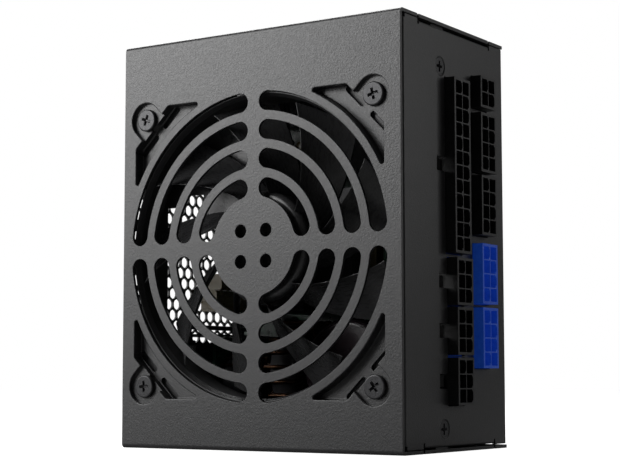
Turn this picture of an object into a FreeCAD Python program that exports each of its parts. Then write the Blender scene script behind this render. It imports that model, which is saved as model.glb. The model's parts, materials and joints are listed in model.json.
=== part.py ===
"""Small form factor modular computer power supply, 125 x 100 x 63.5 mm.

Millimetres, +Z up. The unit stands on its narrow long side: Z is its 125 mm width, X its 100 mm depth
from the mains panel (-X) to the connector panel (+X), and Y its 63.5 mm height from the fan grille (-Y)
to the closed side (+Y). The origin is the centre of the face that it stands on.
"""
import FreeCAD
import Part
import math
import os

Vec = FreeCAD.Vector

# ---------------------------------------------------------------- case
DEPTH = 100.0
HEIGHT = 63.5
WIDTH = 125.0
SHEET = 1.0
BEND = 1.3
INNER_BEND = 0.4
SHEET_GAP = 0.1
X_OUT = DEPTH / 2
Y_OUT = HEIGHT / 2
X_IN = X_OUT - SHEET
Y_IN = Y_OUT - SHEET

# ---------------------------------------------------------------- grille and fan
FAN_X = -0.5
FAN_Z = 60.0
GRILLE_OUTER = 46.2
GRILLE_PITCH = 8.5
GRILLE_RINGS = 4
SLOT = 5.85
GRILLE_BAR = 4.0
HUB_HOLE_R = 2.05
HUB_HOLE_PITCH = 9.1
FAN_HOLE = 41.25
SCREW_PAD_R = 5.4
SCREW_PAD_DEPTH = 1.4
CORNER_PAD_DEPTH = 3.4
CORNER_PAD_EDGE = 44.95
CORNER_PAD_CUT = 77.4
CORNER_PAD_ARC = 48.7
PAD_TIP = 21.0
PAD_SLOT_NEAR, PAD_SLOT_FAR = 1.6, 10.0
PAD_SLOT_WIDE = 2.0
PAD_SLOT_INSET = 1.4
PRESS_ROUND = 0.3

FAN_SIZE = 92.0
FAN_THICK = 15.0
FAN_FRONT = -Y_IN + SHEET_GAP
FAN_BACK = FAN_FRONT + FAN_THICK
FAN_BORE = 44.9
FLARE_R = 50.7
FLARE_DEEP = 5.0
FAN_BASE = 1.5
POST_R = 4.0
ARMS = 4
BEARING_R = 3.0
BLADES = 9
BLADE_TIP = 43.9
HUB_R = 16.8
HUB_FRONT = -28.5
HUB_BACK = -18.7
BLADE_FRONT = -29.4
BLADE_BACK = -19.6
SHAFT_R = 1.5
RUNNING_GAP = 0.03

# ---------------------------------------------------------------- connector panel
HEADER_PROUD = 3.25
HEADER_WIDE = 9.8
PITCH = 4.2
HEADER_MARGIN = 1.2
CELL = 3.85
CELL_CUT = 0.8
# places in a run of four cells, from the top, whose corners are cut, for each row
KEYED = ((0, 3), (1, 2))
CONTACT = 1.07
LEFT_COLUMN = -6.1
LOWER_COLUMN = -5.3
RIGHT_COLUMN = 10.6
LATCH_TALL = 4.2
LATCH_LEFT = 5.1
LATCH_RIGHT = 4.9
PANEL_GAP = 0.25
HEADER_FLOOR = 43.7
LATCH_RAMP = 1.3
OUTPUT_BOARD_X = 38.0
OUTPUT_BOARD_Y0, OUTPUT_BOARD_Y1 = -12.0, 25.5
OUTPUT_BOARD_Z0, OUTPUT_BOARD_Z1 = 10.0, 118.0
CONTACT_PROUD = -2.0
CONTACT_TAIL = 1.6
BOARD = 1.6
FILM = 0.4

# column edge, latch notch length, centre height, contacts per row
HEADERS = {
    "main_header": [(LEFT_COLUMN, LATCH_LEFT, 83.2, 12)],
    "accessory_headers": [(LOWER_COLUMN, LATCH_LEFT, 49.2, 3),
                          (LOWER_COLUMN, LATCH_LEFT, 34.8, 3),
                          (LOWER_COLUMN, LATCH_LEFT, 20.25, 3)],
    "small_header": [(RIGHT_COLUMN, LATCH_RIGHT, 107.3, 2)],
    "processor_headers": [(RIGHT_COLUMN, LATCH_RIGHT, 91.9, 4),
                          (RIGHT_COLUMN, LATCH_RIGHT, 72.9, 4)],
    "graphics_headers": [(RIGHT_COLUMN, LATCH_RIGHT, 52.3, 4),
                         (RIGHT_COLUMN, LATCH_RIGHT, 33.15, 4)],
}

# ---------------------------------------------------------------- mains panel
HEX_PITCH = 4.0
HEX_FLATS = 3.4
HEX_CORNER = 0.42
VENT_SHEET = 0.7
HEX_Y = 2.2
HEX_Z = 59.0
VENT_LOW = 34.0
VENT_HIGH = 108.5
VENT_LEFT = -26.5
VENT_RIGHT = 28.5
VENT_EDGE = 1.9
MOUNT_Y = 25.75
MOUNT_LOW = 6.0
MOUNT_HIGH = 119.0
MOUNT_R = 1.75
INLET_Y = -5.3
INLET_Z = 18.5
INLET_FACE = -X_OUT - 1.8
INLET_BACK = -34.3
INLET_WIDE, INLET_TALL = 20.0, 27.0
FLANGE_WIDE, FLANGE_TALL = 22.6, 30.6
CAVITY_Y, CAVITY_Z = 8.2, 12.1
CAVITY_FLOOR = -35.8
CAVITY_CUT = 4.6
# y, z of the three blades from the inlet's centre
BLADES_AT = [(2.0, 0.0), (-2.0, 7.0), (-2.0, -7.0)]
SWITCH_Y = 14.5
SWITCH_Z = 19.5
SWITCH_FACE = -X_OUT - 1.6
SWITCH_BACK = -37.0
SWITCH_WIDE, SWITCH_TALL = 13.0, 19.2
BEZEL_WIDE, BEZEL_TALL = 15.0, 21.0
ROCKER_R = 8.1
ROCKER_HALF = 5.1
PIVOT_X = -X_OUT + 1.6
PIVOT_R = 1.2
ROCK = 8.0
TERMINALS = (-5.5, 5.5)
TERMINAL_LONG = 6.5
SHIELD_Z = 35.1
# x, y where a lead leaves the top of the inlet
INLET_LEAD = (-43.0, -8.0)
LEAD_R = 0.75
FACE_CHAMFER = 0.5

# ---------------------------------------------------------------- folded edges of the tray
FLANGE = 2.0
LIP = 6.0
RELIEF = 0.9
RELIEF_DEEP = 3.0
# gaps between the cover and the tray: at the ends, at the panel's folds and behind the front
TRAY_GAP = 0.35
FOLD_GAP_UPPER = 0.9
FOLD_GAP_LOWER = 0.6
FLANGE_GAP = 0.55
FOLD_ROUND = 0.6
COLLAR_R, COLLAR_LONG = 2.7, 1.6
# z ranges of the flanges behind the cover on the connector side and on the mains side
FLANGE_RIGHT = [(2.5, 122.5)]
FLANGE_LEFT = [(27.0, 38.0), (84.0, 93.0)]
# y ranges of the connector panel's upper and lower lips
LIP_UPPER = (-21.1, 21.9)
LIP_LOWER = (-19.3, 22.9)

# ---------------------------------------------------------------- screws
CASE_SINK_R = 3.0
CASE_SCREW_SUNK = 0.25
CASE_SCREW_R = 1.45
CASE_SCREW_LONG = 5.0
# side, y, z, and the wall that the tab hangs from
CASE_SCREWS = [(1, -8.7, 111.9, WIDTH), (1, -7.75, 6.6, 0.0), (-1, 0.0, 117.8, WIDTH), (-1, -20.0, 6.3, 0.0)]
TAB_WIDE = 7.2
TAB_REACH = 3.0
FAN_SCREW_HEAD = 3.5
FAN_SCREW_TALL = 1.2
FAN_SCREW_R = 2.05
FAN_SCREW_LONG = 9.0

# ---------------------------------------------------------------- boards
BOARD_Y = 26.8
BOARD_X0, BOARD_X1 = -46.0, 36.0
BOARD_Z0, BOARD_Z1 = 4.0, 121.0
STANDOFFS = [(-41.0, 9.0), (31.0, 9.0), (-41.0, 116.0), (31.0, 116.0)]
STANDOFF_R = 3.1
FILTER_BOARD_X = -28.6
FILTER_BOARD = 1.2
GROUND_X, GROUND_Z = 43.0, 12.0
SHEET_Y = 29.9

# ---------------------------------------------------------------- parts on the boards
# x, z, radius, height
BULK_CAPACITOR = (18.5, 24.0, 15.0, 38.0)
OUTPUT_CAPACITOR_R, OUTPUT_CAPACITOR_TALL = 3.95, 20.0
OUTPUT_CAPACITORS = [(20.3, 91.0), (28.3, 91.0), (20.3, 100.0), (28.3, 100.0), (20.3, 109.0)]
# x, z, radius, thickness
VARISTOR = (-23.0, 112.0, 6.0, 3.6)
THERMISTOR = (-41.0, 76.5, 5.5, 4.0)
# centre, axis, ring radius, radial half width, half height
PFC_RING = ((-8.0, 8.5, 24.0), (1, 0, 0), 11.0, 4.0, 4.5)
UPPER_CHOKE = ((-35.0, 15.0, 97.0), (0, 0, 1), 6.4, 2.6, 4.0)
LOWER_CHOKE = ((-22.8, -3.5, 20.0), (1, 0, 0), 6.4, 2.6, 3.4)
# x0, x1, z0, z1
TRANSFORMER = (-3.5, 16.5, 47.0, 79.0)
RELAY = (-21.0, -6.0, 103.0, 113.0)
# x0, x1, z0, z1, height
RESONANT_COIL = (5.0, 16.0, 84.5, 97.0, 16.0)
STANDBY_COIL = (-9.0, 3.0, 88.0, 100.0, 14.0)
OUTPUT_COILS = [(5.0, 15.0, 98.5, 106.5, 12.0), (5.0, 15.0, 107.5, 115.5, 12.0)]
# x, lower z, upper z, top y, fins
PRIMARY_SINK = (-20.0, 42.0, 84.0, -8.0, 8)
SINK_PLATE, SINK_FIN = 2.4, 6.0
TRANSISTORS_Z = (48.0, 60.0)
RECTIFIER_X = 24.0
BUSBARS_Z = (50.0, 66.0, 82.0, 96.0)


# ================================================================ helpers
def box(x0, x1, y0, y1, z0, z1):
    return Part.makeBox(x1 - x0, y1 - y0, z1 - z0, Vec(x0, y0, z0))


def rod(start, along, radius, length):
    return Part.makeCylinder(radius, length, Vec(*start), Vec(*along))


def tube(start, along, outer, inner, length):
    return rod(start, along, outer, length).cut(rod(start, along, inner, length))


def fuse(shapes):
    joined = shapes[0].multiFuse(shapes[1:]) if len(shapes) > 1 else shapes[0]
    return joined.removeSplitter()


def polygon(points):
    return Part.makePolygon([Vec(*p) for p in points] + [Vec(*points[0])])


def prism(points, along):
    return Part.Face(polygon(points)).extrude(Vec(*along))


def pierced_plate(outline, holes, along):
    """A flat plate with many straight holes, extruded from its outline and the holes' outlines."""
    face = Part.Face([outline] + holes)
    face.validate()
    return face.extrude(Vec(*along))


def edges_along(shape, axis, places):
    """Straight edges along one axis (0, 1 or 2) through one of the places on the other two axes."""
    others = [i for i in range(3) if i != axis]
    found = []
    for edge in shape.Edges:
        if len(edge.Vertexes) != 2:
            continue
        a, b = edge.Vertexes[0].Point, edge.Vertexes[1].Point
        if any(abs(a[i] - b[i]) > 1e-6 for i in others):
            continue
        if any(abs(a[others[0]] - p) < 1e-4 and abs(a[others[1]] - q) < 1e-4 for p, q in places):
            found.append(edge)
    return found


def round_along(shape, axis, places, radius):
    return shape.makeFillet(radius, edges_along(shape, axis, places))


def rounded_block(x0, x1, y0, y1, z0, z1, radius, axis):
    """A block whose four edges along one axis are rounded."""
    low, high = (x0, y0, z0), (x1, y1, z1)
    a, b = [i for i in range(3) if i != axis]
    corners = [(p, q) for p in (low[a], high[a]) for q in (low[b], high[b])]
    return round_along(box(x0, x1, y0, y1, z0, z1), axis, corners, radius)


def wire_along(points, radius, bend):
    """A round wire through the points, with each corner turned on an arc."""
    path = [Vec(*p) for p in points]
    edges = []
    at = path[0]
    for before, corner, after in zip(path, path[1:], path[2:]):
        inward = (before - corner).normalize()
        outward = (after - corner).normalize()
        half = (math.pi - inward.getAngle(outward)) / 2
        back = bend * math.tan(half)
        first, last = corner + inward * back, corner + outward * back
        middle = corner + (inward + outward).normalize() * (bend / math.cos(half) - bend)
        edges += [Part.makeLine(at, first), Part.Arc(first, middle, last).toShape()]
        at = last
    edges.append(Part.makeLine(at, path[-1]))
    section = Part.Wire(Part.makeCircle(radius, path[0], path[1] - path[0]))
    return Part.Wire(edges).makePipeShell([section], True, False)


def phillips(centre, out, size, depth, turn=0.0):
    """The cross recess of a screw head. The head's top centre is given, and out points out of the head."""
    normal = Vec(*out)
    side = Vec(0, 0, 1)
    other = normal.cross(side)
    cos_t, sin_t = math.cos(math.radians(turn)), math.sin(math.radians(turn))
    side, other = side * cos_t + other * sin_t, other * cos_t - side * sin_t
    top = Vec(*centre)
    blades = []
    for along, across in ((side, other), (other, side)):
        corners = ((1, 1), (-1, 1), (-1, -1), (1, -1))
        low = [along * (i * size * 0.45) + across * (j * size * 0.14) for i, j in corners]
        high = [along * (i * size) + across * (j * size * 0.25) for i, j in corners]
        wires = [Part.makePolygon([base + p for p in ring + ring[:1]])
                 for base, ring in ((top - normal * depth, low), (top + normal * 0.1, high))]
        blades.append(Part.makeLoft(wires, True, True))
    return blades[0].fuse(blades[1])


def pan_screw(centre, out, head_r, head_tall, shank_r, length, turn=0.0):
    """A pan head cross recess screw. centre is on the seat under the head, out points to the head's top."""
    normal = Vec(*out)
    head = rod(centre, out, head_r, head_tall)
    rim = [e for e in head.Edges if len(e.Vertexes) == 1
           and abs((e.CenterOfMass - Vec(*centre)).dot(normal) - head_tall) < 1e-6]
    head = head.makeFillet(head_tall * 0.4, rim)
    inward = tuple(-c for c in out)
    shank = rod(centre, inward, shank_r, length)
    top = Vec(*centre) + normal * head_tall
    recess = phillips(tuple(top), out, head_r * 0.53, head_tall * 0.75, turn)
    return fuse([head, shank]).cut(recess)


def countersink(side, y, z, start):
    """The part of a case screw's countersink that lies deeper than start."""
    reach = SHEET - start
    wide = CASE_SCREW_R + (CASE_SINK_R - CASE_SCREW_R) * reach / SHEET
    return Part.makeCone(wide, CASE_SCREW_R, reach, Vec(side * (X_OUT - start), y, z), Vec(-side, 0, 0))


def edges_along_end(shape, x):
    """The edges of a shape's face at one x."""
    return [e for e in shape.Edges if all(abs(v.X - x) < 1e-6 for v in e.Vertexes)]


def panel_block(x0, x1, y, z, wide, tall, radius):
    """A block centred on a place in the mains panel, rounded along its four long edges."""
    return rounded_block(x0, x1, y - wide / 2, y + wide / 2, z - tall / 2, z + tall / 2, radius, 0)


def save(name, shape):
    if not shape.isValid():
        print("invalid:", name)
    shape.exportStep("parts/" + name + ".step")


def group(shapes):
    return Part.makeCompound(shapes)


# ================================================================ case
def grille_slot(ring, quadrant):
    """One arc slot of the grille with full round ends, between two cross bars."""
    middle = GRILLE_OUTER - ring * GRILLE_PITCH - SLOT / 2
    inset = math.asin((GRILLE_BAR / 2 + SLOT / 2) / middle)
    start = math.radians(90 * quadrant) + inset
    end = math.radians(90 * (quadrant + 1)) - inset
    half = SLOT / 2

    def at(radius, angle):
        return Vec(FAN_X + radius * math.cos(angle), -Y_OUT - 1, FAN_Z + radius * math.sin(angle))

    def cap(angle, turn):
        tip = at(middle, angle) + Vec(-math.sin(angle), 0, math.cos(angle)) * (half * turn)
        return Part.Arc(at(middle + half, angle), tip, at(middle - half, angle)).toShape()

    centre = (start + end) / 2
    edges = [
        Part.Arc(at(middle + half, start), at(middle + half, centre), at(middle + half, end)).toShape(),
        cap(end, 1),
        Part.Arc(at(middle - half, end), at(middle - half, centre), at(middle - half, start)).toShape(),
        cap(start, -1),
    ]
    return Part.Face(Part.Wire(Part.__sortEdges__(edges))).extrude(Vec(0, SHEET + 2, 0))


def corner_outline(grow, y):
    """Outline of the pressed corner pad, widened by grow, in the quadrant of positive x and z."""
    edge = CORNER_PAD_EDGE + grow
    cut = CORNER_PAD_CUT + grow * math.sqrt(2)
    arc = CORNER_PAD_ARC - grow
    tip = PAD_TIP - grow
    heel = math.sqrt(arc * arc - tip * tip)
    middle = arc / math.sqrt(2)
    corners = [(heel, tip), (edge, tip), (edge, cut - edge), (cut - edge, edge), (tip, edge), (tip, heel)]
    points = [Vec(a, y, b) for a, b in corners]
    edges = [Part.makeLine(p, q) for p, q in zip(points, points[1:])]
    edges.append(Part.Arc(points[-1], Vec(middle, y, middle), points[0]).toShape())
    return Part.Wire(edges)


def corner_pad(grow, depth):
    """The pressed corner pad as a solid from the cover's outer face inwards."""
    tool = Part.Face(corner_outline(grow, -Y_OUT)).extrude(Vec(0, depth, 0))
    edge = CORNER_PAD_EDGE + grow
    tip = PAD_TIP - grow
    cut = CORNER_PAD_CUT + grow * math.sqrt(2)
    blunt = round_along(tool, 1, [(tip, edge), (edge, tip)], 0.7 + grow / 2)
    return round_along(blunt, 1, [(cut - edge, edge), (edge, cut - edge)], 1.2 + grow)


def screw_pad(grow, depth):
    """The round-ended pad under a fan screw, as a solid from the cover's outer face inwards."""
    radius = SCREW_PAD_R + grow
    disc = rod((FAN_HOLE, -Y_OUT, FAN_HOLE), (0, 1, 0), radius, depth)
    reach = (2 * FAN_HOLE - CORNER_PAD_CUT) / math.sqrt(2) + 0.5
    lane = box(-reach, 0, 0, depth, -radius, radius)
    lane.rotate(Vec(0, 0, 0), Vec(0, 1, 0), -45)
    lane.translate(Vec(FAN_HOLE, -Y_OUT, FAN_HOLE))
    return disc.fuse(lane)


def corner_slots():
    """The two round-ended slots beside the neck that joins the two pads."""
    half, deep = PAD_SLOT_WIDE / 2, CORNER_PAD_DEPTH + 3
    centre = CORNER_PAD_CUT / 2 - PAD_SLOT_INSET / math.sqrt(2)
    slots = []
    for low, high in ((PAD_SLOT_NEAR, PAD_SLOT_FAR), (-PAD_SLOT_FAR, -PAD_SLOT_NEAR)):
        bar = rounded_block(-half, half, 0, deep, low, high, half - 0.01, 1)
        bar.rotate(Vec(0, 0, 0), Vec(0, 1, 0), -45)
        bar.translate(Vec(centre, -Y_OUT - 1, centre))
        slots.append(bar)
    return slots


def four_corners(shape):
    """The shape made for the quadrant of positive x and z, in all four corners of the fan."""
    copies = []
    for flip_x in (False, True):
        for flip_z in (False, True):
            copy = shape.copy()
            if flip_x:
                copy = copy.mirror(Vec(0, 0, 0), Vec(1, 0, 0))
            if flip_z:
                copy = copy.mirror(Vec(0, 0, 0), Vec(0, 0, 1))
            copy.translate(Vec(FAN_X, 0, FAN_Z))
            copies.append(copy)
    return copies


def case_tab(side, y, z, wall):
    """A tab of the cover that hangs behind a side panel and takes a case screw."""
    half = TAB_WIDE / 2 if side > 0 else TAB_WIDE / 3
    outer = side * (X_IN - SHEET_GAP)
    inner = side * (X_IN - SHEET_GAP - SHEET)
    low, high = (SHEET / 2, z + TAB_REACH) if wall == 0 else (z - TAB_REACH, wall - SHEET / 2)
    tab = box(min(outer, inner), max(outer, inner), y - half, y + half, low, high)
    free_end = high if wall == 0 else low
    tab = round_along(tab, 0, [(y - half, free_end), (y + half, free_end)], 1.5)
    return tab


def neck_ramp():
    """The slope between the two slots, from the screw pad down to the corner pad."""
    foot, head, half = -0.2, 1.5, PAD_SLOT_NEAR - 0.2
    shallow, deep = SCREW_PAD_DEPTH - 0.01, CORNER_PAD_DEPTH
    profile = [(foot, 0), (foot, deep), (0, deep), (head, shallow), (head, 0)]
    ramp = prism([(along, down, -half) for along, down in profile], (0, 0, 2 * half))
    ramp.rotate(Vec(0, 0, 0), Vec(0, 1, 0), -45)
    ramp.translate(Vec(CORNER_PAD_CUT / 2, -Y_OUT, CORNER_PAD_CUT / 2))
    return ramp


def pressed_hollow():
    """The space above the two pads of one corner, with a soft foot to its deeper wall."""
    hollow = fuse([corner_pad(0, CORNER_PAD_DEPTH), screw_pad(0, SCREW_PAD_DEPTH)])
    deepest = -Y_OUT + CORNER_PAD_DEPTH
    foot = [e for e in hollow.Edges if all(abs(v.Y - deepest) < 1e-6 for v in e.Vertexes)]
    return hollow.makeFillet(PRESS_ROUND, foot).fuse(neck_ramp())


def pressed_rim(edge):
    """True for an edge where a pressed corner meets the flat outer face."""
    points = [v.Point for v in edge.Vertexes]
    reach = FAN_SIZE / 2 + 3
    flat = all(abs(p.y + Y_OUT) < 1e-6 for p in points)
    return flat and all(max(abs(p.x - FAN_X), abs(p.z - FAN_Z)) < reach for p in points)


def relief_places():
    """Near side of each slit at the ends of the panel's folds, and the wall that it faces."""
    for (y0, y1), z in ((LIP_UPPER, WIDTH), (LIP_LOWER, 0.0)):
        for y in (y0 - RELIEF, y1):
            yield y, z


def make_cover():
    wall_end = Y_OUT - 0.15
    shell = box(-X_OUT, X_OUT, -Y_OUT, wall_end, 0, WIDTH)
    shell = round_along(shell, 0, [(-Y_OUT, 0), (-Y_OUT, WIDTH)], BEND)
    inside = box(-X_OUT - 1, X_OUT + 1, -Y_IN, Y_OUT + 1, SHEET, WIDTH - SHEET)
    inside = round_along(inside, 0, [(-Y_IN, SHEET), (-Y_IN, WIDTH - SHEET)], INNER_BEND)
    cover = shell.cut(inside)

    pressed = four_corners(corner_pad(SHEET, CORNER_PAD_DEPTH + SHEET))
    pressed += four_corners(screw_pad(SHEET, SCREW_PAD_DEPTH + SHEET))
    tabs = [case_tab(*place) for place in CASE_SCREWS]
    cover = fuse([cover] + pressed + tabs)

    cover = cover.cut(group(four_corners(pressed_hollow())))
    rim = [edge for edge in cover.Edges if pressed_rim(edge)]
    cover = cover.makeFillet(PRESS_ROUND, rim)

    holes = [grille_slot(ring, quadrant) for ring in range(GRILLE_RINGS) for quadrant in range(4)]
    for i in (-1, 1):
        for j in (-1, 1):
            place = (FAN_X + i * HUB_HOLE_PITCH / 2, -Y_OUT - 1, FAN_Z + j * HUB_HOLE_PITCH / 2)
            holes.append(rod(place, (0, 1, 0), HUB_HOLE_R, SHEET + 2))
            screw = (FAN_X + i * FAN_HOLE, -Y_OUT - 1, FAN_Z + j * FAN_HOLE)
            holes.append(rod(screw, (0, 1, 0), FAN_SCREW_R + 0.15, CORNER_PAD_DEPTH + 3))
    for slot in corner_slots():
        holes += four_corners(slot)
    for side, y, z, _ in CASE_SCREWS:
        holes.append(rod((side * (X_IN + 0.5), y, z), (-side, 0, 0), CASE_SCREW_R + 0.05, 3))
    for y, z in relief_places():
        holes.append(box(X_OUT - RELIEF, X_OUT + 1, y, y + RELIEF, z - SHEET, z + SHEET))
    return cover.cut(group(holes))


def header_length(contacts):
    return contacts * PITCH + HEADER_MARGIN


def panel_opening(column, latch, z, contacts):
    """The opening of one header in the connector panel, with its latch notch."""
    half = header_length(contacts) / 2 + PANEL_GAP
    y0, y1 = column - PANEL_GAP, column + HEADER_WIDE + PANEL_GAP
    body = box(X_IN - 1, X_OUT + 1, y0, y1, z - half, z + half)
    notch = box(X_IN - 1, X_OUT + 1, column - latch, column, z - LATCH_TALL / 2, z + LATCH_TALL / 2)
    return body.fuse(notch)


def vent_cell(y, z, x):
    """A hexagon with its six corners cut."""
    flat, half = HEX_FLATS / 2, HEX_FLATS / 2 / math.sqrt(3) - HEX_CORNER
    points = []
    for turn in range(0, 360, 60):
        c, s = math.cos(math.radians(turn)), math.sin(math.radians(turn))
        points += [(x, y + flat * c - side * s, z + flat * s + side * c) for side in (-half, half)]
    return polygon(points)


def vent_cells(x):
    """Hexagonal outlines of the honeycomb vent. The lowest row stops short of the mains inlet."""
    row_pitch = HEX_PITCH * math.sqrt(3) / 2
    cells = []
    inlet_side = INLET_Y + FLANGE_WIDE / 2 - HEX_PITCH / 2
    first = math.ceil((VENT_LOW - HEX_Z) / row_pitch)
    last = math.floor((VENT_HIGH - HEX_Z) / row_pitch)
    for row in range(first, last + 1):
        z = HEX_Z + row * row_pitch
        start = HEX_Y - (row % 2) * HEX_PITCH / 2
        for step in range(-8, 8):
            y = start + step * HEX_PITCH
            above_inlet = row == first and y < inlet_side
            if VENT_LEFT < y < VENT_RIGHT and not above_inlet:
                cells.append(vent_cell(y, z, x))
    return cells


def make_chassis():
    top = WIDTH - SHEET - TRAY_GAP
    bottom = SHEET + TRAY_GAP
    upper = WIDTH - SHEET - FOLD_GAP_UPPER
    lower = SHEET + FOLD_GAP_LOWER
    front = -Y_IN + FLANGE_GAP
    panel_front = front + SHEET

    back = box(-X_OUT, X_OUT, -Y_OUT, Y_OUT, bottom, top)
    back = round_along(back, 2, [(X_OUT, Y_OUT), (-X_OUT, Y_OUT)], BEND)
    inside = box(-X_IN, X_IN, -Y_OUT - 1, Y_IN, 0, WIDTH)
    inside = round_along(inside, 2, [(X_IN, Y_IN), (-X_IN, Y_IN)], INNER_BEND)
    tray = back.cut(inside)
    tray = tray.cut(box(-X_OUT - 1, X_OUT + 1, -Y_OUT - 1, panel_front, 0, WIDTH))
    low, high = VENT_LOW - VENT_EDGE, VENT_HIGH + VENT_EDGE
    left, right = VENT_LEFT - VENT_EDGE, VENT_RIGHT + VENT_EDGE
    corners = [(left, low), (right, low), (right, high), (left, high)]
    sheet = polygon([(-X_OUT, y, z) for y, z in corners])
    honeycomb = pierced_plate(sheet, vent_cells(-X_OUT), (VENT_SHEET, 0, 0))
    tray = tray.cut(box(-X_OUT - 1, -X_IN + 1, left, right, low, high))

    strips = [(X_OUT - FLANGE, X_OUT, *ends) for ends in FLANGE_RIGHT]
    strips += [(-X_OUT, -X_OUT + FLANGE, *ends) for ends in FLANGE_LEFT]
    pieces = [tray, honeycomb]
    for x0, x1, z0, z1 in strips:
        strip = box(x0, x1, front, panel_front, z0, z1)
        outer = x1 if x1 > 0 else x0
        pieces.append(round_along(strip, 2, [(outer, front)], FOLD_ROUND))
    pieces.append(box(X_IN - LIP, X_IN, *LIP_UPPER, upper - SHEET, upper))
    pieces.append(box(X_IN - LIP, X_IN, *LIP_LOWER, lower, lower + SHEET))
    for z in (bottom, top - SHEET):
        pieces.append(box(-40, 40, Y_IN - LIP, Y_IN, z, z + SHEET))
    for y in (-MOUNT_Y, MOUNT_Y):
        for z in (MOUNT_LOW, MOUNT_HIGH):
            pieces.append(rod((-X_IN - 0.1, y, z), (1, 0, 0), COLLAR_R, COLLAR_LONG))
    tray = fuse(pieces)

    cuts = [panel_opening(*header) for headers in HEADERS.values() for header in headers]
    cuts.append(box(X_IN - 1, X_OUT + 1, *LIP_UPPER, upper, WIDTH))
    cuts.append(box(X_IN - 1, X_OUT + 1, *LIP_LOWER, 0, lower))
    for y, z in relief_places():
        cuts.append(box(X_IN - 1, X_OUT + 1, y, y + RELIEF, z - RELIEF_DEEP, z + RELIEF_DEEP))
    for side, y, z, wall in CASE_SCREWS:
        half = TAB_WIDE / 2 + 0.8
        near = side * (X_IN - 0.05)
        cuts.append(box(min(near, side * 40), max(near, side * 40), y - half, y + half, wall - 3, wall + 3))
        cuts.append(countersink(side, y, z, 0.0))
        cuts.append(rod((side * X_OUT, y, z), (-side, 0, 0), CASE_SCREW_R + 0.1, SHEET + 1))
    for y in (-MOUNT_Y, MOUNT_Y):
        for z in (MOUNT_LOW, MOUNT_HIGH):
            cuts.append(rod((-X_OUT - 1, y, z), (1, 0, 0), MOUNT_R, 5))
    gap = 2 * SHEET_GAP
    for block in ((INLET_Y, INLET_Z, INLET_WIDE + gap, INLET_TALL + gap),
                  (SWITCH_Y, SWITCH_Z, SWITCH_WIDE + gap, SWITCH_TALL + gap)):
        cuts.append(panel_block(-X_OUT - 1, -X_IN + 1, *block, 0.3))
    for x, z in STANDOFFS:
        cuts.append(rod((x, Y_IN - 1, z), (0, 1, 0), 1.6, 3))
    cuts.append(rod((GROUND_X, Y_IN - 1, GROUND_Z), (0, 1, 0), 1.6, 3))
    tray = tray.cut(group(cuts))
    folds = [e for e in edges_along(tray, 1, [(X_OUT, upper), (X_OUT, lower)]) if e.Length > 20]
    return tray.makeFillet(FOLD_ROUND, folds)


def make_case_screws():
    screws = []
    for side, y, z, _ in CASE_SCREWS:
        head = countersink(side, y, z, CASE_SCREW_SUNK)
        shank = rod((side * (X_OUT - SHEET), y, z), (-side, 0, 0), CASE_SCREW_R, CASE_SCREW_LONG - SHEET)
        screw = fuse([head, shank])
        recess = phillips((side * (X_OUT - CASE_SCREW_SUNK), y, z), (side, 0, 0), 1.75, 1.3)
        screws.append(screw.cut(recess))
    return group(screws)


# ================================================================ fan
def fan_corner_mask():
    """Space of the pressed corner pads and of the screw pads, kept clear of the fan frame."""
    return four_corners(corner_pad(SHEET + 0.3, CORNER_PAD_DEPTH + SHEET + 0.15)) + \
        four_corners(screw_pad(SHEET + 0.3, SCREW_PAD_DEPTH + SHEET))


def fan_flare(start, narrow, wide, square):
    """A cone that opens from a start to the fan's back, held inside a square of the given half width."""
    cone = Part.makeCone(narrow, wide, FAN_BACK - start, Vec(FAN_X, start, FAN_Z), Vec(0, 1, 0))
    return cone.common(box(FAN_X - square, FAN_X + square, start, FAN_BACK, FAN_Z - square, FAN_Z + square))


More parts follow.
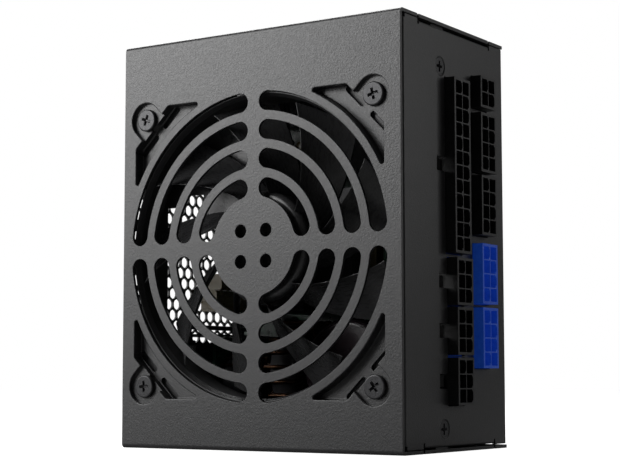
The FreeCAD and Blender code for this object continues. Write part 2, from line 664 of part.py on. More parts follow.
def make_fan_frame():
    half = FAN_SIZE / 2
    front = (FAN_X, FAN_FRONT, FAN_Z)
    ring = rod(front, (0, 1, 0), half, FAN_THICK)
    flare_start = FAN_BACK - FLARE_DEEP
    flare_wall = fan_flare(flare_start - 1.0, half, FLARE_R + 1.2, half)
    corner_plates = []
    for y0, y1 in ((FAN_FRONT + 3.6, FAN_FRONT + 6.4), (FAN_BACK - 2.8, FAN_BACK)):
        plate = rounded_block(FAN_X - half, FAN_X + half, y0, y1, FAN_Z - half, FAN_Z + half, 4.5, 1)
        corner_plates.append(plate)
    posts = []
    for i in (-1, 1):
        for j in (-1, 1):
            place = (FAN_X + i * FAN_HOLE, FAN_FRONT, FAN_Z + j * FAN_HOLE)
            posts.append(rod(place, (0, 1, 0), POST_R, FAN_THICK))
    base = rod((FAN_X, FAN_BACK - FAN_BASE, FAN_Z), (0, 1, 0), HUB_R + 0.4, FAN_BASE)
    arms = []
    for k in range(ARMS):
        arm = box(HUB_R - 2, FAN_BORE + 0.5, FAN_BACK - 2.4, FAN_BACK, -1.6, 1.6)
        arm.rotate(Vec(0, 0, 0), Vec(0, 1, 0), 360 / ARMS * k + 20)
        arm.translate(Vec(FAN_X, 0, FAN_Z))
        arms.append(arm)
    bearing_seat = tube((FAN_X, FAN_BACK - 9.4, FAN_Z), (0, 1, 0), BEARING_R + 1.2, BEARING_R, 9.4)
    shell = fuse([ring, flare_wall] + corner_plates + posts)
    lip = Part.makeCone(half - 0.3, FAN_BORE, 2.0, Vec(*front), Vec(0, 1, 0))
    flare = fan_flare(flare_start, FAN_BORE, FLARE_R, FAN_BORE)
    for space in (rod(front, (0, 1, 0), FAN_BORE, FAN_THICK), lip, flare):
        shell = shell.cut(space)
    frame = fuse([shell, base, bearing_seat] + arms)
    cuts = fan_corner_mask()
    cuts.append(rod((FAN_X, FAN_BACK - 12, FAN_Z), (0, 1, 0), BEARING_R, 11.2))
    for i in (-1, 1):
        for j in (-1, 1):
            place = (FAN_X + i * FAN_HOLE, FAN_FRONT - 1, FAN_Z + j * FAN_HOLE)
            cuts.append(rod(place, (0, 1, 0), FAN_SCREW_R + 0.1, FAN_THICK + 2))
    frame = frame.cut(group(cuts))
    return Part.makeCompound([max(frame.Solids, key=lambda s: s.Volume)])


def blade_section(radius, lead, trail, thick):
    """A thin curved section of a blade in the plane at one distance from the fan's axis.

    lead and trail are the angles of its edges. The plane faces the angle halfway between them.
    """
    middle = math.radians((lead + trail) / 2)
    out = Vec(math.cos(middle), 0, math.sin(middle))
    along = Vec(-math.sin(middle), 0, math.cos(middle))
    centre = Vec(FAN_X, 0, FAN_Z) + out * radius
    half = radius * math.radians(lead - trail) / 2
    bow = 0.9
    depth_mid = (BLADE_FRONT + BLADE_BACK) / 2 + bow

    def at(side, y, shift):
        return centre + along * side + Vec(0, y + shift, 0)

    front = [at(half, BLADE_FRONT, 0), at(0, depth_mid, 0), at(-half, BLADE_BACK, 0)]
    back = [at(-half, BLADE_BACK, thick * 0.6), at(0, depth_mid, thick), at(half, BLADE_FRONT, thick * 0.6)]
    return Part.Wire([
        Part.Arc(*front).toShape(),
        Part.makeLine(front[2], back[0]),
        Part.Arc(*back).toShape(),
        Part.makeLine(back[2], front[0]),
    ])


def make_blade(turn):
    """One forward swept blade: its leading edge, nearest the grille, runs ahead as it nears the tip."""
    stations = [(16.0, -29.0, -49.0, 1.7), (21.0, -19.0, -41.0, 1.5), (28.0, -8.5, -31.0, 1.3),
                (36.0, 0.0, -22.5, 1.1), (45.5, 8.5, -15.0, 1.0)]
    wires = [blade_section(r, turn + lead, turn + trail, thick) for r, lead, trail, thick in stations]
    blade = Part.makeLoft(wires, True, False)
    limit = rod((FAN_X, BLADE_FRONT - 5, FAN_Z), (0, 1, 0), BLADE_TIP, 25)
    return blade.common(limit)


def make_impeller():
    hub = rod((FAN_X, HUB_FRONT, FAN_Z), (0, 1, 0), HUB_R, HUB_BACK - HUB_FRONT)
    rim = [e for e in hub.Edges if len(e.Vertexes) == 1 and abs(e.CenterOfMass.y - HUB_FRONT) < 1e-6]
    hub = hub.makeFillet(2.0, rim)
    blades = [make_blade(26 + 360 / BLADES * k) for k in range(BLADES)]
    impeller = fuse([hub] + blades)
    hollow = rod((FAN_X, HUB_FRONT + 1.3, FAN_Z), (0, 1, 0), HUB_R - 1.25, 20)
    return impeller.cut(hollow)


def make_rotor():
    """Steel cup, magnet ring and shaft, all carried by the impeller."""
    top = HUB_FRONT + 1.3
    cup_r = HUB_R - 1.3
    cup = rod((FAN_X, top, FAN_Z), (0, 1, 0), cup_r, HUB_BACK - top)
    cup = cup.cut(rod((FAN_X, top + 0.8, FAN_Z), (0, 1, 0), cup_r - 0.8, 20))
    cup = cup.cut(rod((FAN_X, top - 1, FAN_Z), (0, 1, 0), SHAFT_R, 5))
    magnet = tube((FAN_X, top + 1.2, FAN_Z), (0, 1, 0), cup_r - 0.85, cup_r - 2.8, HUB_BACK - top - 1.4)
    shaft = rod((FAN_X, top, FAN_Z), (0, 1, 0), SHAFT_R, 10.3)
    groove = tube((FAN_X, top + 9.5, FAN_Z), (0, 1, 0), SHAFT_R + 1, SHAFT_R - 0.4, 0.5)
    clip = tube((FAN_X, top + 9.55, FAN_Z), (0, 1, 0), SHAFT_R + 0.9, SHAFT_R - 0.35, 0.4)
    return cup, magnet, shaft.cut(groove), clip


def make_bearing():
    start = FAN_BACK - 9.2
    return tube((FAN_X, start, FAN_Z), (0, 1, 0), 2.95, SHAFT_R + RUNNING_GAP, 7.0)


def make_stator():
    """Four T-shaped poles on a ring, with a coil round each neck."""
    y0 = FAN_BACK - 6.6
    tall = 3.0
    core = tube((FAN_X, y0, FAN_Z), (0, 1, 0), 6.2, 4.25, tall)
    shoes = tube((FAN_X, y0, FAN_Z), (0, 1, 0), 12.2, 10.8, tall)
    parts, coils = [core], []
    for k in range(4):
        neck = box(5.5, 11.2, y0, y0 + tall, -1.2, 1.2)
        coil = box(6.6, 10.4, y0 - 1.1, y0 + tall + 1.1, -2.7, 2.7)
        coil = coil.cut(box(6, 11, y0 - 0.05, y0 + tall + 0.05, -1.25, 1.25))
        for piece in (neck, coil):
            piece.rotate(Vec(0, 0, 0), Vec(0, 1, 0), 90 * k)
            piece.translate(Vec(FAN_X, 0, FAN_Z))
        parts.append(neck)
        coils.append(coil)
        gap = box(10, 13, y0 - 1, y0 + tall + 1, -1.6, 1.6)
        gap.rotate(Vec(0, 0, 0), Vec(0, 1, 0), 90 * k + 45)
        gap.translate(Vec(FAN_X, 0, FAN_Z))
        shoes = shoes.cut(gap)
    return fuse(parts + [shoes]), group(coils)


def make_fan_board():
    y0 = FAN_BACK - 1.5 - 0.8
    board = tube((FAN_X, y0, FAN_Z), (0, 1, 0), 13.5, 4.3, 0.8)
    chip = box(FAN_X + 5.0, FAN_X + 7.6, y0 - 0.8, y0, FAN_Z - 10.0, FAN_Z - 7.4)
    return fuse([board, chip])


def make_fan_screws():
    seat = -Y_OUT + SCREW_PAD_DEPTH
    screws = []
    for i in (-1, 1):
        for j in (-1, 1):
            place = (FAN_X + i * FAN_HOLE, seat, FAN_Z + j * FAN_HOLE)
            turn = 8.0 + 17.0 * i - 11.0 * j
            sizes = (FAN_SCREW_HEAD, FAN_SCREW_TALL, FAN_SCREW_R, FAN_SCREW_LONG)
            screws.append(pan_screw(place, (0, -1, 0), *sizes, turn))
    return group(screws)


def make_fan_cable():
    """Two thin leads from the fan's base to a plug on the main board."""
    leads = []
    for k in range(2):
        x = FAN_X - 3 + 1.6 * k
        end_y = BOARD_Y - 7.0
        route = [(x, FAN_BACK + 0.05, FAN_Z + 12), (x, FAN_BACK + 4, FAN_Z + 12), (x, FAN_BACK + 4, 112.0),
                 (x, end_y, 112.0)]
        leads.append(wire_along(route, 0.6, 2.0))
    plug = box(FAN_X - 4.6, FAN_X + 0.2, BOARD_Y - 7.0, BOARD_Y, 109.5, 114.5)
    return group(leads), plug


def make_baffle():
    """A thin film taped over part of the fan's back, which keeps its air away from the vent's upper half."""
    edge, top = FAN_X - FAN_SIZE / 2 + 0.4, FAN_Z + FAN_SIZE / 2 - 0.4
    steps = [(-42.0, 75.3), (-38.0, 78.8), (-31.2, 78.8), (-31.2, 71.0), (-13.5, 71.0), (-13.5, 80.0)]
    corners = [(edge, top), (edge, 75.3)] + steps + [(-2.5, 90.0), (-2.5, top)]
    film = prism([(x, FAN_BACK, z) for x, z in corners], (0, FILM, 0))
    hole = rod((FAN_X - FAN_HOLE, FAN_BACK - 1, FAN_Z + FAN_HOLE), (0, 1, 0), FAN_SCREW_R, 2)
    return film.cut(hole)


def make_baffle_rivet():
    """A push rivet that holds the film in one screw hole of the fan frame."""
    place = (FAN_X - FAN_HOLE, FAN_BACK + FILM, FAN_Z + FAN_HOLE)
    head = rod(place, (0, 1, 0), 3.4, 1.0)
    rim = [e for e in head.Edges if len(e.Vertexes) == 1 and e.CenterOfMass.y > place[1] + 0.5]
    pin = rod(place, (0, -1, 0), FAN_SCREW_R - 0.05, 3.6)
    return fuse([head.makeFillet(0.5, rim), pin])


# ================================================================ headers
def square_outline(x, y, z, half):
    return polygon([(x, y + a * half, z + b * half) for a, b in ((-1, -1), (1, -1), (1, 1), (-1, 1))])


def cell_outline(y, z, x, keyed):
    """A square contact cell. A keyed cell has its two corners on one side cut off."""
    half = CELL / 2
    if not keyed:
        return square_outline(x, y, z, half)
    points = [(y - half, z - half), (y + half - CELL_CUT, z - half), (y + half, z - half + CELL_CUT),
              (y + half, z + half - CELL_CUT), (y + half - CELL_CUT, z + half), (y - half, z + half)]
    return polygon([(x, a, b) for a, b in points])


def contact_places(column, z, contacts):
    """Row, position in the row, and centre of each contact."""
    middle = column + HEADER_WIDE / 2
    for row, side in enumerate((-1, 1)):
        for k in range(contacts):
            yield row, k, middle + side * PITCH / 2, z + (k - (contacts - 1) / 2) * PITCH


def make_header(column, latch, z, contacts):
    half = header_length(contacts) / 2
    base, floor, mouth = OUTPUT_BOARD_X + BOARD, HEADER_FLOOR, X_OUT + HEADER_PROUD
    y0, y1 = column, column + HEADER_WIDE

    def outline(x):
        return polygon([(x, y0, z - half), (x, y1, z - half), (x, y1, z + half), (x, y0, z + half)])

    reach = CONTACT / 2
    holes, cells = [], []
    for row, k, y, zc in contact_places(column, z, contacts):
        holes.append(square_outline(base, y, zc, reach))
        keyed = (contacts - 1 - k) % 4 in KEYED[row]
        cells.append(cell_outline(y, zc, floor, keyed))
    lower = pierced_plate(outline(base), holes, (floor - base, 0, 0))
    upper = pierced_plate(outline(floor), cells, (mouth - floor, 0, 0))
    tall = LATCH_TALL - 0.8
    wedge = [(-6.5, 0), (-3.4, LATCH_RAMP), (-2.4, LATCH_RAMP), (-1.6, 0)]
    latch_block = prism([(X_OUT + x, y0 - out, z - tall / 2) for x, out in wedge], (0, 0, tall))
    return fuse([lower, upper, latch_block])


def make_contacts():
    pins = []
    for headers in HEADERS.values():
        for column, _, z, contacts in headers:
            for _, _, y, zc in contact_places(column, z, contacts):
                half, tip = CONTACT / 2, X_OUT + CONTACT_PROUD
                pin = box(OUTPUT_BOARD_X - CONTACT_TAIL, tip, y - half, y + half, zc - half, zc + half)
                pins.append(pin.makeChamfer(0.25, edges_along_end(pin, tip)))
    return group(pins)


def make_output_board():
    x, y0, y1 = OUTPUT_BOARD_X, OUTPUT_BOARD_Y0, OUTPUT_BOARD_Y1
    low, high = OUTPUT_BOARD_Z0, OUTPUT_BOARD_Z1
    outline = polygon([(x, y0, low), (x, y1, low), (x, y1, high), (x, y0, high)])
    reach = CONTACT / 2
    holes = []
    for headers in HEADERS.values():
        for column, _, z, contacts in headers:
            for _, _, y, zc in contact_places(column, z, contacts):
                holes.append(square_outline(x, y, zc, reach))
    return pierced_plate(outline, holes, (BOARD, 0, 0))


# ================================================================ mains inlet and switch
def make_inlet_pins():
    pins = []
    for dy, dz in BLADES_AT:
        y, z = INLET_Y + dy, INLET_Z + dz
        blade = box(INLET_FACE + 2.6, INLET_BACK, y - 2, y + 2, z - 1, z + 1)
        tab = box(INLET_BACK, FILTER_BOARD_X, y - 2, y + 2, z - 0.4, z + 0.4)
        pins.append(fuse([blade, tab]))
    return group(pins)


def make_inlet():
    flange = panel_block(INLET_FACE, -X_OUT, INLET_Y, INLET_Z, FLANGE_WIDE, FLANGE_TALL, 2.0)
    flange = flange.makeChamfer(FACE_CHAMFER, edges_along_end(flange, INLET_FACE))
    body = panel_block(-X_OUT, INLET_BACK, INLET_Y, INLET_Z, INLET_WIDE, INLET_TALL, 1.5)
    y0, y1, cut_y = INLET_Y - CAVITY_Y, INLET_Y + CAVITY_Y, INLET_Y + CAVITY_Y - CAVITY_CUT
    z0, z1 = INLET_Z - CAVITY_Z, INLET_Z + CAVITY_Z
    outline = [(y0, z0), (cut_y, z0), (y1, z0 + CAVITY_CUT), (y1, z1 - CAVITY_CUT), (cut_y, z1), (y0, z1)]
    start = INLET_FACE - 1
    cavity = prism([(start, y, z) for y, z in outline], (CAVITY_FLOOR - start, 0, 0))
    clips = []
    for side in (-1, 1):
        z = INLET_Z + side * (INLET_TALL / 2 - 0.1)
        catch, tail = -X_IN + 0.1, -X_IN + 5
        profile = [(catch, z), (catch, z + side * 1.2), (tail, z)]
        clips.append(prism([(x, INLET_Y - 3, height) for x, height in profile], (0, 6, 0)))
    return fuse([flange, body] + clips).cut(cavity).cut(make_inlet_pins())


def make_rocker():
    """The rocker stands tilted: its upper half is pressed in."""
    def outline_point(along, out):
        return (PIVOT_X - out, SWITCH_Y - ROCKER_HALF, SWITCH_Z + along)

    face = [outline_point(-9, 4.6), outline_point(0, 3.1), outline_point(9, 4.6),
            outline_point(9, 0), outline_point(3, -2.6), outline_point(-3, -2.6), outline_point(-9, 0)]
    blank = prism(face, (0, 2 * ROCKER_HALF, 0))
    disc = rod((PIVOT_X, SWITCH_Y - ROCKER_HALF, SWITCH_Z), (0, 1, 0), ROCKER_R, 2 * ROCKER_HALF)
    rocker = blank.common(disc)
    pins = rod((PIVOT_X, SWITCH_Y - ROCKER_HALF - 0.9, SWITCH_Z), (0, 1, 0), PIVOT_R, 2 * ROCKER_HALF + 1.8)
    rocker = fuse([rocker, pins])
    rocker.rotate(Vec(PIVOT_X, SWITCH_Y, SWITCH_Z), Vec(0, 1, 0), ROCK)
    return rocker


def make_switch():
    bezel = panel_block(SWITCH_FACE, -X_OUT, SWITCH_Y, SWITCH_Z, BEZEL_WIDE, BEZEL_TALL, 1.5)
    bezel = bezel.makeChamfer(FACE_CHAMFER, edges_along_end(bezel, SWITCH_FACE))
    body = panel_block(-X_OUT, SWITCH_BACK, SWITCH_Y, SWITCH_Z, SWITCH_WIDE, SWITCH_TALL, 0.3)
    well = box(SWITCH_FACE - 1, PIVOT_X + 4.4, SWITCH_Y - ROCKER_HALF - 0.15, SWITCH_Y + ROCKER_HALF + 0.15,
               SWITCH_Z - 8.4, SWITCH_Z + 8.4)
    seat = rod((PIVOT_X, SWITCH_Y - 6.2, SWITCH_Z), (0, 1, 0), PIVOT_R + 0.05, 12.4)
    return fuse([bezel, body]).cut(well).cut(seat)


def make_switch_terminals():
    tabs = []
    for dz in TERMINALS:
        z, tip = SWITCH_Z + dz, SWITCH_BACK + TERMINAL_LONG
        tabs.append(box(SWITCH_BACK, tip, SWITCH_Y - 2.4, SWITCH_Y + 2.4, z - 0.4, z + 0.4))
    return group(tabs)


def make_inlet_shield():
    """Folded film over the inlet and the switch, taped to the main board, with a hole for a lead."""
    flap = box(-48.8, -30.0, -15.2, BOARD_Y, SHIELD_Z - FILM, SHIELD_Z)
    back = box(BOARD_X0, -30.0, BOARD_Y - FILM, BOARD_Y, 14.0, SHIELD_Z)
    x, y = INLET_LEAD
    return fuse([flap, back]).cut(rod((x, y, SHIELD_Z - 2), (0, 0, 1), LEAD_R + 0.35, 4))


# ================================================================ boards and what stands on them
def make_main_board():
    board = rounded_block(BOARD_X0, BOARD_X1, BOARD_Y, BOARD_Y + BOARD, BOARD_Z0, BOARD_Z1, 1.5, 1)
    holes = [rod((x, BOARD_Y - 1, z), (0, 1, 0), 1.7, 4) for x, z in STANDOFFS]
    return board.cut(group(holes))


def make_insulating_sheet():
    sheet = box(BOARD_X0 - 1.5, BOARD_X1 + 1.5, SHEET_Y, SHEET_Y + FILM, BOARD_Z0 - 0.5, BOARD_Z1 + 0.5)
    holes = [rod((x, SHEET_Y - 1, z), (0, 1, 0), STANDOFF_R + 0.5, 3) for x, z in STANDOFFS]
    return sheet.cut(group(holes))


def make_standoffs():
    posts = []
    for x, z in STANDOFFS:
        turns = [math.radians(60 * k) for k in range(6)]
        low = BOARD_Y + BOARD
        corners = [(x + STANDOFF_R * math.cos(t), low, z + STANDOFF_R * math.sin(t)) for t in turns]
        post = prism(corners, (0, Y_IN - low, 0))
        stud = rod((x, Y_IN, z), (0, 1, 0), 1.55, SHEET - 0.05)
        bore = rod((x, low - 1, z), (0, 1, 0), 1.5, 3.2)
        posts.append(fuse([post, stud]).cut(bore))
    return group(posts)


def make_board_screws():
    return group([pan_screw((x, BOARD_Y, z), (0, -1, 0), 2.75, 2.0, 1.45, 3.6) for x, z in STANDOFFS])


def standing_can(x, z, radius, tall):
    """An electrolytic capacitor standing on the main board, with a rolled groove near its foot."""
    body = rod((x, BOARD_Y, z), (0, -1, 0), radius, tall)
    rim = [e for e in body.Edges if len(e.Vertexes) == 1 and e.CenterOfMass.y < BOARD_Y - tall / 2]
    body = body.makeFillet(radius * 0.12, rim)
    groove = tube((x, BOARD_Y - radius * 0.35, z), (0, -1, 0), radius + 1, radius * 0.93, radius * 0.18)
    vent = []
    for turn in (0, 60, 120):
        bar = box(-radius * 0.6, radius * 0.6, 0, 0.3, -0.15, 0.15)
        bar.rotate(Vec(0, 0, 0), Vec(0, 1, 0), turn)
        bar.translate(Vec(x, BOARD_Y - tall, z))
        vent.append(bar)
    return body.cut(group([groove] + vent))


def toroid(centre, axis, major, minor, squash):
    """A ring core with a rounded section: minor is its radial half width and squash its half height."""
    ring = tube(tuple(Vec(*centre) - Vec(*axis) * squash), axis, major + minor, major - minor, 2 * squash)
    edges = [e for e in ring.Edges if len(e.Vertexes) == 1]
    return ring.makeFillet(min(minor, squash) * 0.3, edges)


def ring_winding(centre, axis, major, minor, squash, wire, turns, arc, start):
    """Separate closed turns of round wire about a ring core."""
    loops = []
    clear = 0.12
    normal = Vec(*axis)
    side = Vec(0, 0, 1) if abs(normal.z) < 0.5 else Vec(1, 0, 0)
    a, b = minor + clear + wire, squash + clear + wire
    for k in range(turns):
        angle = math.radians(start + arc * k / (turns - 1))
        out = side * math.cos(angle) + normal.cross(side) * math.sin(angle)
        middle = Vec(*centre) + out * major
        along = normal.cross(out)

        def frame(half_out, half_up, back, thick):
            start, corners = middle - along * back, []
            for i, j in ((1, 1), (-1, 1), (-1, -1), (1, -1)):
                corners.append(tuple(start + out * (i * half_out) + normal * (j * half_up)))
            return prism(corners, tuple(along * thick))

        loop = frame(a + wire, b + wire, wire, 2 * wire)
        loop = loop.makeFillet(wire * 0.95, loop.Edges)
        loops.append(loop.cut(frame(minor + clear, squash + clear, 2 * wire, 4 * wire)))
    return loops


def make_filter_chokes():
    """Two common mode chokes: one near the mains panel above the vent's view, one on the filter board."""
    wire, turns, arc = 0.45, 7, 110
    cores, windings = [], []
    for ring in (UPPER_CHOKE, LOWER_CHOKE):
        cores.append(toroid(*ring))
        for start in (-arc / 2, 180 - arc / 2):
            windings += ring_winding(*ring, wire, turns, arc, start)
    return group(cores), group(windings)


def make_filter_board():
    return box(FILTER_BOARD_X, FILTER_BOARD_X + FILTER_BOARD, -14.0, 24.0, 5.0, 34.0)


def make_line_capacitors():
    ridged = rounded_block(-46.0, -39.6, 2.6, BOARD_Y, 43.0, 50.0, 1.2, 1)
    grooves = [box(-40.0, -39.0, 3.6, BOARD_Y - 4.0, z, z + 0.5) for z in (44.6, 48.0)]
    blocks = [rounded_block(-27.4, -19.4, 7.5, 17.5, 8.0, 26.0, 1.0, 0),
              rounded_block(-44.0, -32.0, BOARD_Y - 15.0, BOARD_Y, 83.0, 89.0, 1.0, 1),
              rounded_block(-46.0, -40.4, 6.4, BOARD_Y, 50.3, 55.5, 1.0, 1),
              ridged.cut(group(grooves))]
    discs = []
    for x, z in ((-16.0, 89.0), (-16.0, 97.0)):
        disc = rod((x, BOARD_Y - 6.0, z - 2.0), (0, 0, 1), 4.2, 4.0)
        rims = [e for e in disc.Edges if len(e.Vertexes) == 1]
        legs = [box(x + s, x + s + 0.6, BOARD_Y - 4, BOARD_Y, z - 0.3, z + 0.3) for s in (-2.9, 2.3)]
        discs.append(fuse([disc.makeFillet(1.5, rims)] + legs))
    return group(blocks + discs)


def make_fuse():
    y = BOARD_Y - 3.2
    z = 107.5
    glass = rod((-44.0, y, z), (1, 0, 0), 2.4, 18.0)
    caps = [rod((x, y, z), (1, 0, 0), 2.7, 4.5) for x in (-44.5, -30.0)]
    feet = [box(x, x + 1.2, y, BOARD_Y, z - 0.6, z + 0.6) for x in (-43.0, -28.4)]
    return fuse([glass] + caps + feet)


def make_disc_part(x, z, radius, thick):
    disc = rod((x - thick / 2, BOARD_Y - radius - 2.0, z), (1, 0, 0), radius, thick)
    rims = [e for e in disc.Edges if len(e.Vertexes) == 1]
    legs = [box(x - 0.4, x + 0.4, BOARD_Y - 4.5, BOARD_Y, z + s - 0.4, z + s + 0.4) for s in (-2.5, 2.5)]
    return fuse([disc.makeFillet(thick * 0.35, rims)] + legs)


def make_relay():
    x0, x1, z0, z1 = RELAY
    return rounded_block(x0, x1, BOARD_Y - 15.0, BOARD_Y, z0, z1, 0.6, 1)


def make_bridge():
    block = box(-26.2, -22.2, BOARD_Y - 22.0, BOARD_Y - 4.0, 58.0, 80.0)
    block = block.makeChamfer(1.0, edges_along(block, 0, [(BOARD_Y - 22.0, 80.0)]))
    legs = [box(-24.7, -23.7, BOARD_Y - 4.0, BOARD_Y, z, z + 1.0) for z in (60.0, 66.0, 71.0, 77.0)]
    return fuse([block] + legs)


def finned_sink(x, z0, z1, top, fins):
    """A heat sink plate standing on the main board, with fins at its free edge on the +X side."""
    face = x + SINK_PLATE
    bars = [box(x, face, top, BOARD_Y, z0, z1)]
    step = (z1 - z0) / fins
    for k in range(fins):
        z = z0 + step * (k + 0.5)
        bars.append(box(face, face + SINK_FIN, top, top + 9.0, z - 0.7, z + 0.7))
    return fuse(bars)


def transistor(x, z):
    """A flat power transistor whose tab lies against the heat sink's face at x."""
    tab = box(x + 0.1, x + 1.4, BOARD_Y - 19.5, BOARD_Y - 12.0, z - 5.0, z + 5.0)
    tab = tab.cut(rod((x - 1, BOARD_Y - 16.8, z), (1, 0, 0), 1.8, 5))
    body = box(x + 0.1, x + 4.4, BOARD_Y - 13.0, BOARD_Y - 4.0, z - 5.0, z + 5.0)
    legs = [box(x + 2.4, x + 2.9, BOARD_Y - 4.0, BOARD_Y, z + s - 0.4, z + s + 0.4) for s in (-2.5, 0, 2.5)]
    return fuse([tab, body] + legs)


def make_transistors():
    return group([transistor(PRIMARY_SINK[0] + SINK_PLATE, z) for z in TRANSISTORS_Z])


def make_pfc_choke():
    wire, turns, arc, start = 0.6, 20, 320, 20
    return toroid(*PFC_RING), group(ring_winding(*PFC_RING, wire, turns, arc, start))


def make_transformer():
    """E-core pair about a wound former, standing on the main board."""
    x0, x1, z0, z1 = TRANSFORMER
    low, high = BOARD_Y - 31.0, BOARD_Y - 3.0
    outer = box(x0, x1, low, high, z0, z1)
    windows = [box(x0 - 1, x1 + 1, low + 5.0, high - 5.0, z0 + 4.0, z0 + 11.0),
               box(x0 - 1, x1 + 1, low + 5.0, high - 5.0, z1 - 11.0, z1 - 4.0)]
    core = outer.cut(group(windows))
    coil = rounded_block(x0 - 5.0, x1 + 5.0, low + 6.5, high - 6.5, z0 + 4.4, z1 - 4.4, 3.0, 1)
    ends = [rounded_block(x0 - 5.6, x1 + 5.6, y, y + 1.2, z0 + 4.2, z1 - 4.2, 3.4, 1)
            for y in (low + 5.2, high - 6.4)]
    hole = box(x0 - 0.1, x1 + 0.1, low, high, z0 + 10.9, z1 - 10.9)
    windings = fuse([coil] + ends).cut(hole)
    feet = [box(x, x + 2.0, high - 5.3, BOARD_Y, z, z + 2.0)
            for x in (-8.0, 19.0) for z in (z0 + 6.0, z1 - 8.0)]
    return core, fuse([windings] + feet)


def block_coil(x0, x1, z0, z1, tall):
    """A small shell-core choke: two core halves about a round winding."""
    zc, xc = (z0 + z1) / 2, (x0 + x1) / 2
    slabs = [box(x0, x1, y, y + 2.5, z0, z1) for y in (BOARD_Y - tall, BOARD_Y - 2.5)]
    post = rod((xc, BOARD_Y, zc), (0, -1, 0), min(x1 - x0, z1 - z0) * 0.42, tall)
    legs = [box(x0, x1, BOARD_Y - tall, BOARD_Y, z, z + 1.8) for z in (z0, z1 - 1.8)]
    return fuse(slabs + [post] + legs)


def make_rectifier_board():
    face = RECTIFIER_X + 1.2
    board = box(RECTIFIER_X, face, 2.0, BOARD_Y, 45.0, 85.0)
    chips = [box(face, face + 1.1, 6.0, 11.5, z, z + 5.0) for z in range(48, 80, 8)]
    return fuse([board] + chips)


def make_secondary_sink():
    """Finned block on the rectifier board's chips."""
    foot = RECTIFIER_X + 2.3
    base = box(foot, foot + 1.2, 3.0, 14.0, 46.0, 84.0)
    fins = [box(foot + 1.2, foot + 5.2, 3.0, 14.0, z, z + 0.9) for z in range(47, 84, 4)]
    return fuse([base] + fins)


def make_control_board():
    board = box(-12.0, 20.0, 6.0, BOARD_Y, 117.2, 118.2)
    chips = [box(-8.0, -2.0, 12.0, 18.0, 116.2, 117.2), box(6.0, 10.0, 14.0, 18.0, 116.2, 117.2)]
    return fuse([board] + chips)


def make_busbars():
    bars = []
    x = OUTPUT_BOARD_X - 5.5
    for z in BUSBARS_Z:
        upright = box(x, x + 1.2, 21.0, BOARD_Y, z, z + 10.0)
        shelf = box(x, OUTPUT_BOARD_X, 19.8, 21.0, z, z + 10.0)
        bars.append(fuse([upright, shelf]))
    return group(bars)


def make_mains_wires():
    """Leads from the switch to the filter board, from that board to the main board, and from the inlet."""
    leads = []
    for dz in TERMINALS:
        start = SWITCH_BACK + TERMINAL_LONG
        leads.append(rod((start, SWITCH_Y, SWITCH_Z + dz), (1, 0, 0), 0.9, FILTER_BOARD_X - start))
    x, y = INLET_LEAD
    high = INLET_Z + INLET_TALL / 2
    leads.append(wire_along([(x, y, high), (x, y, 37.7), (x, BOARD_Y, 37.7)], LEAD_R, 2.0))
    start = FILTER_BOARD_X + FILTER_BOARD
    for step in (0.0, 3.0):
        x, y, z = -22.0 - step, 22.0 - step, 38.0 + step
        leads.append(wire_along([(start, y, 30.0), (x, y, 30.0), (x, y, z), (x, BOARD_Y, z)], 0.9, 1.4))
    return group(leads)


def make_ground():
    """The earth wire, which ends in a ring terminal under a screw in the closed side."""
    y, z = 22.5, 6.2
    start = FILTER_BOARD_X + FILTER_BOARD
    wire = wire_along([(start, y, z), (GROUND_X, y, z), (GROUND_X, 28.9, z)], 1.1, 3.0)
    barrel = box(GROUND_X - 1.5, GROUND_X + 1.5, 28.9, Y_IN, z - 1.5, z + 1.5)
    tongue = box(GROUND_X - 1.5, GROUND_X + 1.5, Y_IN - 0.8, Y_IN, z, GROUND_Z - 2)
    ring = rod((GROUND_X, Y_IN, GROUND_Z), (0, -1, 0), 3.4, 0.8)
    ring = fuse([barrel, tongue, ring]).cut(rod((GROUND_X, Y_IN, GROUND_Z), (0, -1, 0), 1.7, 5))
    screw = pan_screw((GROUND_X, Y_IN - 0.8, GROUND_Z), (0, -1, 0), 3.0, 2.0, 1.5, 1.75)
    return group([wire, ring]), screw


